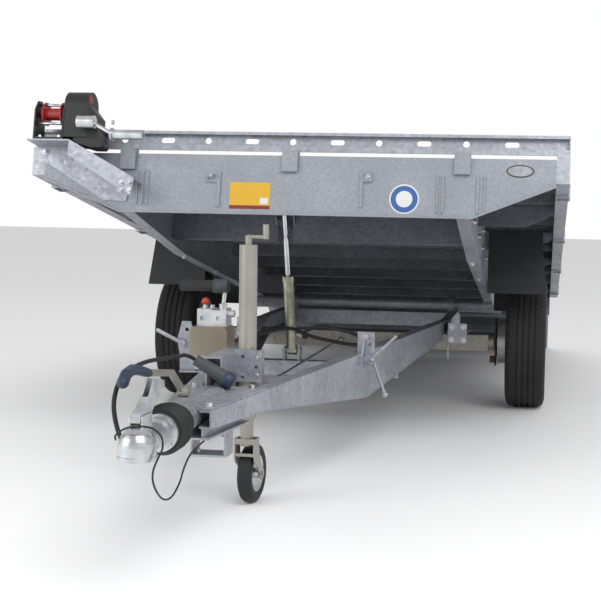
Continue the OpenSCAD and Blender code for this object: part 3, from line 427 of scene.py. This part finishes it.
def hex_bolt(centre, direction, size=M8, washer=True):
    """A hexagon head with a chamfered top, on a washer, standing on a face at
    centre and pointing along direction. size is the width across flats."""
    r = size / math.sqrt(3)
    rows = [(0.0, r * 1.45), (0.0016, r * 1.45), (0.0016, r)] if washer else [(0.0, r)]
    rows += [(0.0016 + size * 0.55, r), (0.0016 + size * 0.62, r * 0.82)]
    n = 12 if washer else 6
    points, faces = revolved(rows, centre, direction, n)
    if washer:
        # Rows above the washer are drawn in to six flats
        d, s, w = axes_about(direction)
        t = np.arange(12) * TAU / 12
        flat = np.where(np.arange(12) % 2 == 0, 1.0, math.cos(math.pi / 6))
        for i, (along, radius) in enumerate(rows[2:], 2):
            ring = np.cos(t)[:, None] * s + np.sin(t)[:, None] * w
            points[i * 12:(i + 1) * 12] = np.asarray(centre) + along * d + radius * flat[:, None] * ring
    return capped(points, faces, len(rows), n)


# Tyres and wheels

TREAD_BLOCKS = 72
TREAD_GROOVES = (-0.043, -0.0145, 0.0145, 0.043)


def tyre_points(middle, count=288):
    """A tyre with its tread, turned about +X. The cross-section is a closed loop
    of (across, radius) rows; the tread band, where |across| is under its half
    width, is cut in by four grooves round it and by sipes that repeat with the
    tread's blocks and slant with the place across."""
    half, band = 0.100, 0.078
    crown, bead = 0.3268, 0.1775
    s = np.linspace(-1, 1, 61)
    wall = np.array([0.86, 0.93, 0.97, 0.99, 0.995, 0.98, 0.95, 0.9, 0.83, 0.76, 0.70, 0.68])
    wall_radius = [0.3175, 0.309, 0.298, 0.283, 0.266, 0.249, 0.234, 0.219, 0.205, 0.194, 0.184, bead]
    across = np.concatenate([band * s, half * wall])
    radius = np.concatenate([crown - 0.0045 * (s ** 2) ** 1.6, wall_radius])
    back = -across[61:][::-1], radius[61:][::-1]
    # Inside wall, hidden by the rim
    inner_across = np.array([0.6, 0.3, 0.0, -0.3, -0.6]) * half
    inner_radius = np.full(5, bead)
    x = np.concatenate([across, inner_across, back[0]])
    r = np.concatenate([radius, inner_radius, back[1]])
    angle = np.arange(count) * TAU / count
    a, xx = np.meshgrid(angle, x, indexing="ij")
    rr = np.broadcast_to(r, a.shape).copy()
    tread = (np.abs(xx) < band + 1e-6) & (rr > 0.31)
    groove = np.zeros_like(rr)
    for place in TREAD_GROOVES:
        groove = np.maximum(groove, np.clip(1.4 - np.abs(xx - place) / 0.0036, 0, 1))
    turn = (a / TAU * TREAD_BLOCKS + np.abs(xx) * 22) % 1.0
    sipe = np.clip(1.5 - np.abs(turn - 0.5) / 0.11, 0, 1) * (np.abs(np.abs(xx) - 0.030) > 0.004) * 0.55
    rr -= 0.0075 * np.where(tread, np.maximum(groove, sipe), 0)
    # Shoulder blocks run down onto the side wall
    shoulder = (np.abs(xx) >= band) & (rr > 0.30)
    block = np.clip(1.5 - np.abs((a / TAU * TREAD_BLOCKS + band * 22) % 1.0 - 0.5) / 0.13, 0, 1)
    rr -= 0.004 * np.where(shoulder, block, 0)
    # Moulded rings on the side wall
    rr_wall = (rr < 0.30) & (rr > 0.19) & (np.abs(xx) > 0.06)
    bulge = 0.0008 * (np.abs(rr - 0.285) < 0.004) + 0.0008 * (np.abs(rr - 0.215) < 0.004)
    xx = xx + np.sign(xx) * np.where(rr_wall, bulge, 0)
    points = np.stack([middle[0] + xx, middle[1] + rr * np.cos(a), middle[2] + rr * np.sin(a)], -1)
    return points.reshape(-1, 3), grid_faces(count, len(x), close_rows=True)


class TrailerWheelSettings(bpy.types.PropertyGroup):
    nut_size: bpy.props.FloatProperty(
        name="Wheel bolt", description="Width of a wheel bolt's head across its flats",
        default=0.019, min=0.015, max=0.024, subtype="DISTANCE")


class TRAILER_OT_tyres(bpy.types.Operator):
    """Makes both road tyres with their tread, in place of the plain CAD tyres"""
    bl_idname = "trailer.tyres"
    bl_label = "Tyres"

    def execute(self, context):
        for side, body in ((-1, "wheel_left"), (1, "wheel_right")):
            points, faces = tyre_points(WHEEL * [side, 1, 1])
            tyre = make_piece("road_tyre_" + body[6:], points, faces, "tyre", body, "tyre_rubber")
            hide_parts("tyre_" + body[6:])
        return {"FINISHED"}


class TRAILER_OT_wheel_parts(bpy.types.Operator):
    """Makes the wheel bolts and grease caps"""
    bl_idname = "trailer.wheel_parts"
    bl_label = "Wheel bolts and caps"

    def execute(self, context):
        size = context.scene.trailer_wheel.nut_size
        for side, body in ((-1, "wheel_left"), (1, "wheel_right")):
            hub = WHEEL * [side, 1, 1] + [side * 0.008, 0, 0]
            out = np.array([side, 0.0, 0.0])
            cap = [(0.0, 0.0275), (0.020, 0.0275), (0.024, 0.0255), (0.028, 0.018), (0.030, 0.008),
                   (0.0302, 0.001)]
            make_piece("grease_cap_" + body[6:], *turned(cap, hub, out, 32), "bright", body, "bright_zinc")
            bolts = []
            for k in range(5):
                a = TAU * k / 5
                place = WHEEL * [side, 1, 1] + [side * -0.0278, 0.056 * math.cos(a), 0.056 * math.sin(a)]
                bolts.append(hex_bolt(place, out, size))
            make_piece("wheel_bolts_" + body[6:], *joined(bolts), "bright", body, "bright_zinc", smooth=False)
        return {"FINISHED"}


# Small pieces of the fittings

def looped(profile, centre, direction, count=48):
    """A closed loop of (along, radius) rows turned about a line, as for a ring."""
    points, _ = revolved(profile, centre, direction, count)
    return points, [f[::-1] for f in grid_faces(len(profile), count, close_rows=True)]


def straight(start, end, radius, count=16):
    """A round bar between two points."""
    return swept(np.linspace(start, end, 3), radius, count)


def ball(centre, radius, count=20):
    """A knob: rings of radius r sin a at -r cos a, closed almost at the poles."""
    a = np.linspace(0.06, math.pi - 0.06, 13)
    rows = np.stack([-radius * np.cos(a), radius * np.sin(a)], 1)
    return turned(rows, centre, [0, 0, 1], count)


class TRAILER_OT_fittings(bpy.types.Operator):
    """Makes the small pieces of the winch, the pump, the plug and the brake"""
    bl_idname = "trailer.fittings"
    bl_label = "Small fittings"

    def execute(self, context):
        # Tie rods between the winch's side plates, and its gear ring
        bars = [straight(on_stand(-0.004, u, v), on_stand(0.104, u, v), 0.006)
                for u, v in ((-0.098, 0.326), (-0.076, 0.404))]
        loop = [(0.0, 0.026), (0.0, 0.040), (0.006, 0.040), (0.006, 0.026)]
        bars.append(looped(loop, on_stand(0.096, -0.040, 0.418), BED_SIDE))
        make_piece("winch_rods", *joined(bars), "bright", "bed", "bright_zinc")
        # The pump's valve knob and the collar of its lever
        knob = ball(from_datum(-0.196, 1.214, 0.668), 0.013)
        make_piece("pump_knob", *knob, "knob", "chassis", "red_paint")
        collar = [(0.0, 0.0195), (0.0, 0.024), (0.05, 0.024), (0.052, 0.0195)]
        make_piece("pump_lever_collar", *looped(collar, from_datum(-0.166, 1.214, 0.722), [1, 0, 0]),
                   "grey_plastic", "chassis", "dark_grey_plastic")
        # The nuts at the two ends of the hose
        fitting = [(0.0, 0.0135), (0.014, 0.0135), (0.016, 0.011), (0.03, 0.0105), (0.031, 0.0085)]
        nut = turned(fitting, from_datum(-0.150, 1.268, 0.510), [0, 1, 0], 6)
        port = [(0.0, 0.0125), (0.012, 0.0125), (0.014, 0.010), (0.026, 0.010), (0.027, 0.0085)]
        end = turned(port, from_datum(-0.127, 2.5249, 0.4214), [1, 0, 0], 6)
        make_piece("hose_nut", *nut, "bright", "chassis", "bright_zinc", smooth=False)
        make_piece("hose_port_nut", *end, "bright", "lift_barrel", "bright_zinc", smooth=False)
        # The plug's navy cap at its lower end
        axis = np.array([0.867, 0.0, -0.498])
        cap = [(0.0, 0.0245), (0.004, 0.0262), (0.026, 0.0262), (0.030, 0.022), (0.0305, 0.001)]
        place = from_datum(-0.078, 0.700, 0.528) + axis * 0.104
        make_piece("plug_cap", *turned(cap, place, axis, 32), "navy", "chassis", "navy_plastic")
        # The brake rod from the overrun bracket to the axle
        rod = [straight(from_datum(-0.050, 0.672, 0.338), from_datum(-0.050, 3.199, 0.335), 0.005),
               straight(from_datum(-0.062, 0.672, 0.325), from_datum(0.034, 0.672, 0.325), 0.008),
               straight(from_datum(-0.050, 3.160, 0.335), from_datum(-0.050, 3.199, 0.335), 0.011)]
        make_piece("brake_rod", *joined(rod), "bright", "chassis", "bright_zinc")
        return {"FINISHED"}


# Bolts and rivets

def bed_bolt_rows():
    """Rows of x, u, v and the direction's parts across, along and above the bed."""
    rows = []
    # Two rows on the outer webs of the bed beams
    for side in (-1, 1):
        for u in (0.09, 0.30, 0.66, 0.98, 1.31, 1.72, 2.12, 2.54, 2.98, 3.42):
            for v in (0.045, 0.125):
                rows.append((side * 0.683, u, v, side, 0, 0))
        # Beam flanges below
        for u in (0.78, 1.31, 1.72, 2.12, 2.54):
            rows.append((side * 0.655, u, -0.0578, 0, 0, -1))
    return rows


def wing_nut(centre, direction, turn):
    """A wing nut on its washer: a round boss and two wings, turned about it."""
    d, s, w = axes_about(direction)
    lean = math.cos(turn) * s + math.sin(turn) * w
    rows = [(0.0, 0.011), (0.0016, 0.011), (0.0016, 0.0075), (0.011, 0.0065), (0.011, 0.004),
            (0.019, 0.004)]
    parts = [turned(rows, centre, d, 16)]
    for k in (-1, 1):
        foot, tip = centre + d * 0.005 + k * lean * 0.005, centre + d * 0.019 + k * lean * 0.019
        parts.append(swept(np.stack([foot, (foot + tip) / 2 - d * 0.001, tip]), [0.0025, 0.004, 0.0035], 10))
    return joined(parts)


class TRAILER_OT_bolts(bpy.types.Operator):
    """Makes the bolts of the bed, the chassis and the fittings"""
    bl_idname = "trailer.bolts"
    bl_label = "Bolts"

    def execute(self, context):
        parts = []
        for x, u, v, dx, du, dv in bed_bolt_rows():
            direction = dx * BED_SIDE + du * BED_ALONG + dv * BED_UP
            parts.append(hex_bolt(on_bed(x, u, v), direction, M10))
        # The winch on its stand, and the stand's plate
        for x in (0.012, 0.088):
            for u in (-0.098, -0.030):
                parts.append(hex_bolt(on_stand(x, u, 0.270), BED_UP, M8))
        for x in (0.0, 0.108):
            parts.append(hex_bolt(on_stand(x, -0.0066, 0.236), -BED_ALONG, 0.015))
        for x in (0.36, 0.392):
            for v in (0.055, 0.085):
                parts.append(hex_bolt(on_stand(x, -0.115, v + 0.01), -BED_ALONG, M8))
        # The clips on the front panel
        parts.append(wing_nut(on_bed(-0.325, -0.006, 0.146), -BED_ALONG, 0.5))
        parts.append(wing_nut(on_bed(0.287, -0.006, 0.153), -BED_ALONG, 2.4))
        make_piece("bed_bolts", *joined(parts), "bright", "bed", "bright_zinc", smooth=False)
        parts = []
        # The axle's bracket plates, the bridge's top, the right latch and the jockey clamp
        for side in (-1, 1):
            for z in (0.348, 0.414):
                for x in (0.515, 0.575):
                    parts.append(hex_bolt(from_datum(side * x, 3.1937, z), [0, -1, 0], M10))
        for x, y in ((-0.058, 0.37), (0.058, 0.37), (-0.09, 0.735), (0.09, 0.735)):
            parts.append(hex_bolt(from_datum(x, y, 0.441), [0, 0, 1], M10))
        for x, z in ((0.286, 0.500), (0.312, 0.402)):
            parts.append(hex_bolt(from_datum(x, 1.7905, z), [0, -1, 0], M8))
        for x, z in ((0.044, 0.448), (0.044, 0.506)):
            parts.append(hex_bolt(from_datum(x, 0.982, z), [0, -1, 0], M8))
        # The guard loop's bottom bar and the flange behind the coupling
        for x in (-0.040, 0.044):
            parts.append(hex_bolt(from_datum(x, 0.60, 0.264), [0, 0, 1], M8))
        for a in (0.7, 2.4, 3.9, 5.5):
            place = from_datum(0.0415 * math.cos(a), 0.102, 0.413 + 0.0415 * math.sin(a))
            parts.append(hex_bolt(place, [0, -1, 0], M6, washer=False))
        make_piece("chassis_bolts", *joined(parts), "bright", "chassis", "bright_zinc", smooth=False)
        return {"FINISHED"}


# Labels

def flat_disc(centre, normal, up, width, height, thickness, count=48):
    """An oval plate: width cos t across and height sin t along up, t over a turn."""
    n = np.asarray(normal, float)
    across = np.cross(up, n)
    t = np.arange(count) * TAU / count
    outline = np.asarray(centre) + (np.cos(t)[:, None] * across * width / 2
                                    + np.sin(t)[:, None] * np.asarray(up) * height / 2)
    return solid_plate(outline, n, thickness)


def bed_rectangle(x0, x1, v0, v1, u, thickness):
    """A thin plate on the front panel's face, thick towards the front."""
    outline = np.stack([on_bed(x0, u, v0), on_bed(x1, u, v0), on_bed(x1, u, v1), on_bed(x0, u, v1)])
    return solid_plate(outline, -BED_ALONG, thickness)


def bare_label(name, shape, material, slot="panel_steel"):
    """A flat piece of film or plate on the bed."""
    make_piece(name, *shape, material, "bed", slot, smooth=False)


class TRAILER_OT_labels(bpy.types.Operator):
    """Makes the bare labels on the front panel and the winch"""
    bl_idname = "trailer.labels"
    bl_label = "Bare labels"

    def execute(self, context):
        film = 0.0006
        # A yellow label with a dark red foot, bare
        yellow = bed_rectangle(-0.252, -0.092, 0.036, 0.127, 0.0, film)
        bare_label("yellow_label", yellow, "yellow")
        foot = bed_rectangle(-0.252, -0.092, 0.022, 0.036, 0.0, film)
        bare_label("yellow_label_foot", foot, "label_red")
        square = bed_rectangle(-0.132, -0.100, 0.042, 0.066, -film, film)
        bare_label("yellow_label_square", square, "white")
        # A round label with a broad coloured rim, bare
        centre = on_bed(0.432, -0.0002, 0.072)
        disc = flat_disc(centre, -BED_ALONG, BED_UP, 0.116, 0.116, film)
        bare_label("round_label", disc, "white")
        rim = flat_disc(centre - BED_ALONG * film, -BED_ALONG, BED_UP, 0.104, 0.104, film)
        bare_label("round_label_ring", rim, "blue")
        middle = flat_disc(centre - BED_ALONG * 2 * film, -BED_ALONG, BED_UP, 0.064, 0.064, film)
        bare_label("round_label_middle", middle, "white")
        # An oval plate with a dark rim, bare
        edge = flat_disc(on_bed(0.872, -0.0002, 0.188), -BED_ALONG, BED_UP, 0.106, 0.050, 0.001)
        bare_label("oval_plate_rim", edge, "grey_plastic")
        oval = flat_disc(on_bed(0.872, -0.0012, 0.188), -BED_ALONG, BED_UP, 0.094, 0.040, 0.001)
        bare_label("oval_plate", oval, "oval")
        patch = flat_disc(on_stand(0.2024, -0.078, 0.428), BED_SIDE, BED_UP, 0.050, 0.034, film)
        bare_label("winch_label", patch, "label_red", "black_plastic")
        return {"FINISHED"}


# Cords: the routes are the part's own, in millimetres from the datum

PLUG_CABLE = [(-82, 700, 530), (-93, 700, 536), (-104, 670, 545), (-104, 600, 550), (-102, 460, 560),
              (-102, 330, 569), (-102, 220, 569), (-101, 130, 561), (-100, 76, 539), (-100, 50, 508),
              (-100, 47, 478), (-100, 62, 442), (-100, 92, 402), (-99, 130, 368), (-94, 190, 356),
              (-82, 260, 368), (-66, 320, 396), (-60, 356, 409)]
BREAKAWAY = [(50, 346, 349), (50, 290, 345), (50, 213, 336), (50, 156, 310), (50, 121, 282), (50, 66, 262),
             (50, 15, 262), (52, -40, 280), (56, -96, 314), (57, -120, 344), (56, -110, 366), (58, -84, 386),
             (62, -60, 408), (58, -58, 436), (46, -78, 457), (30, -96, 466), (8, -106, 467), (-14, -104, 462),
             (-36, -92, 450), (-52, -76, 436), (-56, -62, 424)]
HOSE = [(-150, 1269, 510), (-150, 1300, 510), (-148, 1400, 506), (-140, 1700, 500), (-112, 2000, 496),
        (-80, 2140, 486), (-50, 2200, 464), (-6, 2230, 444), (72, 2240, 428), (150, 2240, 416),
        (196, 2230, 420), (212, 2206, 442), (180, 2180, 468), (106, 2170, 488), (24, 2190, 494),
        (-36, 2230, 472), (-70, 2320, 436), (-80, 2440, 420), (-90, 2506, 421), (-106, 2524, 421),
        (-122, 2525, 421)]


def route(rows, count=120):
    """A smooth path through rows of millimetres from the datum."""
    return smooth_path([from_datum(x / 1000, y / 1000, z / 1000) for x, y, z in rows], count)


class TRAILER_OT_cords(bpy.types.Operator):
    """Makes the plug cable, the breakaway cable and the hydraulic hose"""
    bl_idname = "trailer.cords"
    bl_label = "Cables and hose"

    def execute(self, context):
        # The plug's lead leaves the left beam's mouth and ends in the plug
        rows = (("plug_lead", PLUG_CABLE[::-1], 0.012, "plug_cable", "medium", "plug", ["electric_plug"]),
                ("breakaway_wire", BREAKAWAY, 0.005, "breakaway_cable", "medium", "object", []),
                ("pump_hose", HOSE, 0.016, "hydraulic_hose", "stiff", "object", []))
        for name, points, diameter, node, stiffness, far_end, others in rows:
            path = route(points)
            piece = make_piece(name, *swept(path, diameter / 2), "rubber", "chassis", "black_rubber")
            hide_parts(node)
        return {"FINISHED"}


# Stage

# The photo's size in pixels, and the camera solved on it: its focal length and
# the point that it looks straight at
PHOTO_WIDTH = 601
PHOTO_HEIGHT = 602
FOCAL_PIXELS = 1219.4
AIM_X = 408.3
AIM_Y = 301.7
SENSOR = 36.0


class TrailerStageSettings(bpy.types.PropertyGroup):
    key_power: bpy.props.FloatProperty(
        name="Key light", description="Power of the large light above the front",
        default=330.0, min=0.0, max=2000.0, subtype="POWER")
    fill_power: bpy.props.FloatProperty(
        name="Fill light", description="Power of the lower light from the left",
        default=110.0, min=0.0, max=1000.0, subtype="POWER")
    studio_strength: bpy.props.FloatProperty(
        name="Studio", description="Strength of the studio's even light",
        default=0.75, min=0.0, max=2.0, subtype="FACTOR")


def area_light(name, place, target, size, power):
    """A soft square light that looks at a target."""
    data = bpy.data.lights.new(name, "AREA")
    data.size, data.energy = size, power
    lamp = bpy.data.objects.new(name, data)
    bpy.context.collection.objects.link(lamp)
    lamp.location = place
    lamp.rotation_euler = (Vector(target) - Vector(place)).to_track_quat("-Z", "Y").to_euler()
    return lamp


def studio_world(strength):
    """White paper where the camera looks, and a slightly dimmer studio
    for the light and the reflections."""
    world = bpy.data.worlds.new("studio")
    world.use_nodes = True
    tree = world.node_tree
    studio = tree.nodes["Background"]
    studio.inputs["Color"].default_value = srgb("#F2F2F3")
    studio.inputs["Strength"].default_value = strength
    paper = add(tree, "ShaderNodeBackground", {"Color": srgb("#FFFFFF"), "Strength": 1.0})
    seen = add(tree, "ShaderNodeLightPath")
    mix = add(tree, "ShaderNodeMixShader", Fac=seen.outputs["Is Camera Ray"])
    tree.links.new(studio.outputs["Background"], mix.inputs[1])
    tree.links.new(paper.outputs["Background"], mix.inputs[2])
    tree.links.new(mix.outputs["Shader"], tree.nodes["World Output"].inputs["Surface"])
    return world


class TRAILER_OT_stage(bpy.types.Operator):
    """Makes the floor, the lights and the camera"""
    bl_idname = "trailer.stage"
    bl_label = "Floor, lights and camera"

    def execute(self, context):
        scene = context.scene
        scene.view_settings.view_transform = "Standard"
        settings = scene.trailer_stage
        floor_mat, _, shader, _ = surface("pale_floor", 0.0, 0.9)
        shader.inputs["Base Color"].default_value = srgb("#FDFDFD")
        reach = 40.0
        floor = bpy.data.meshes.new("floor")
        corners = [(-reach, -reach, 0), (reach, -reach, 0), (reach, reach, 0), (-reach, reach, 0)]
        floor.from_pydata(corners, [], [(0, 1, 2, 3)])
        floor.materials.append(floor_mat)
        floor_obj = bpy.data.objects.new("floor", floor)
        context.collection.objects.link(floor_obj)
        scene.world = studio_world(settings.studio_strength)
        area_light("key_light", (3.5, -6.5, 6.0), (0, -1.2, 0.6), 5.0, settings.key_power)
        area_light("fill_light", (-4.5, -5.5, 2.6), (0, -1.0, 0.6), 3.5, settings.fill_power)
        # Camera: low in front of the trailer, to the right of its middle
        eye = from_datum(0.981, -2.922, 1.003)
        yaw, pitch, roll = -0.112, -0.076, 0.020
        forward = np.array([math.sin(yaw) * math.cos(pitch), math.cos(yaw) * math.cos(pitch),
                            math.sin(pitch)])
        right = np.cross(forward, [0, 0, 1])
        right /= np.linalg.norm(right)
        up = np.cross(right, forward)
        right, up = (math.cos(roll) * right + math.sin(roll) * up,
                     math.cos(roll) * up - math.sin(roll) * right)
        data = bpy.data.cameras.new("camera")
        camera = bpy.data.objects.new("camera", data)
        context.collection.objects.link(camera)
        rows = [[right[i], up[i], -forward[i], eye[i]] for i in range(3)]
        camera.matrix_world = Matrix(rows + [[0, 0, 0, 1]])
        data.sensor_width = SENSOR
        data.lens = SENSOR * FOCAL_PIXELS / PHOTO_WIDTH
        data.shift_x = (PHOTO_WIDTH / 2 - AIM_X) / PHOTO_WIDTH
        data.shift_y = (AIM_Y - PHOTO_HEIGHT / 2) / PHOTO_WIDTH
        data.clip_end = 200.0
        scene.camera = camera
        return {"FINISHED"}


class TRAILER_OT_finishes(bpy.types.Operator):
    """Gives every CAD node the material of its finish, the deck, stringers and sills darkened with painted
    shade
    """
    bl_idname = "trailer.finishes"
    bl_label = "Finishes"

    def execute(self, context):
        make_materials()
        for name, obj in frame["nodes"].items():
            material = MATERIALS[NODE_MATERIALS.get(name, "galvanised")]
            if not obj.material_slots:
                obj.data.materials.append(material)
            for item in obj.material_slots:
                item.material = material
        return {"FINISHED"}


class TRAILER_PT_panel(bpy.types.Panel):
    """Lists the trailer's sizes and the operators that make its pieces"""
    bl_label = "Trailer finish"
    bl_idname = "TRAILER_PT_panel"
    bl_space_type = "VIEW_3D"
    bl_region_type = "UI"
    bl_category = "Trailer"

    def draw(self, context):
        layout = self.layout
        layout.prop(context.scene.trailer_stage, "key_power")
        layout.prop(context.scene.trailer_stage, "fill_power")
        layout.prop(context.scene.trailer_stage, "studio_strength")
        layout.prop(context.scene.trailer_wheel, "nut_size")
        for operator in OPERATORS:
            layout.operator(operator.bl_idname)


OPERATORS = (TRAILER_OT_stage, TRAILER_OT_finishes, TRAILER_OT_cords, TRAILER_OT_tyres,
             TRAILER_OT_wheel_parts, TRAILER_OT_fittings, TRAILER_OT_bolts, TRAILER_OT_labels)
SETTINGS = (TrailerWheelSettings, TrailerStageSettings)


def register():
    for item in SETTINGS + OPERATORS + (TRAILER_PT_panel,):
        bpy.utils.register_class(item)
    bpy.types.Scene.trailer_wheel = bpy.props.PointerProperty(type=TrailerWheelSettings)
    bpy.types.Scene.trailer_stage = bpy.props.PointerProperty(type=TrailerStageSettings)


def unregister():
    del bpy.types.Scene.trailer_wheel
    del bpy.types.Scene.trailer_stage
    for item in reversed(SETTINGS + OPERATORS + (TRAILER_PT_panel,)):
        bpy.utils.unregister_class(item)


def main():
    """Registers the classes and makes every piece."""
    register()
    for operator in OPERATORS:
        group, name = operator.bl_idname.split(".")
        getattr(getattr(bpy.ops, group), name)()


if __name__ == "__main__":
    main()
